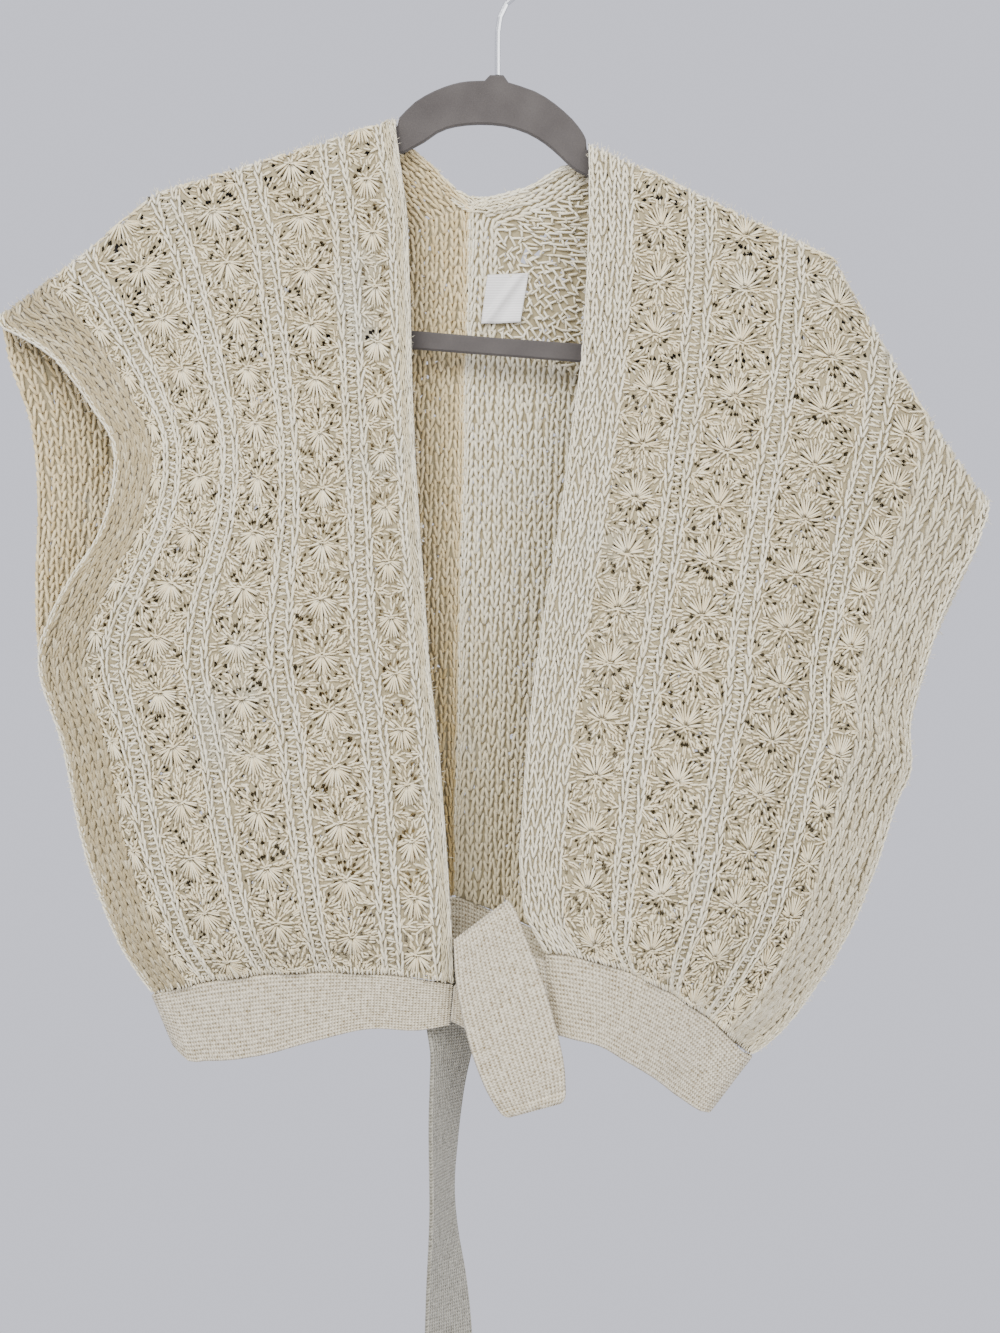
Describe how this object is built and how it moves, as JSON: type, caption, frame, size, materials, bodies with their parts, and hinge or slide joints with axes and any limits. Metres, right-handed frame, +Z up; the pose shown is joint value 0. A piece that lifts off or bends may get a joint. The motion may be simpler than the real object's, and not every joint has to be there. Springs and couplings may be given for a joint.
{
  "type": "open-knit tie-front vest sweater on a hanger",
  "caption": "Cropped open-front knit vest with a jersey waistband tied at the front, hung on a slim hanger by a wire hook.",
  "frame": {"origin": "seat of the hook: the inner top of its bend, where a rail carries it", "axes": "+Z up, the front faces -Y, +X towards the wearer's left"},
  "size_m": [0.5915, 0.0862, 0.9084],
  "materials": {
    "knit": "open knit of cream boucle yarn",
    "jersey": "plain jersey knit, folded double",
    "label": "white satin ribbon, blank",
    "hanger_velvet": "matt flocked plastic",
    "hook_steel": "bright plated wire"
  },
  "bodies": {
    "root": {"right_half": "knit", "left_half": "knit", "waistband": "jersey", "short_tie": "jersey", "tie_knot": "jersey", "long_tie": "jersey", "neck_label": "label", "hanger": "hanger_velvet", "hook": "hook_steel"}
  },
  "joints": []
}
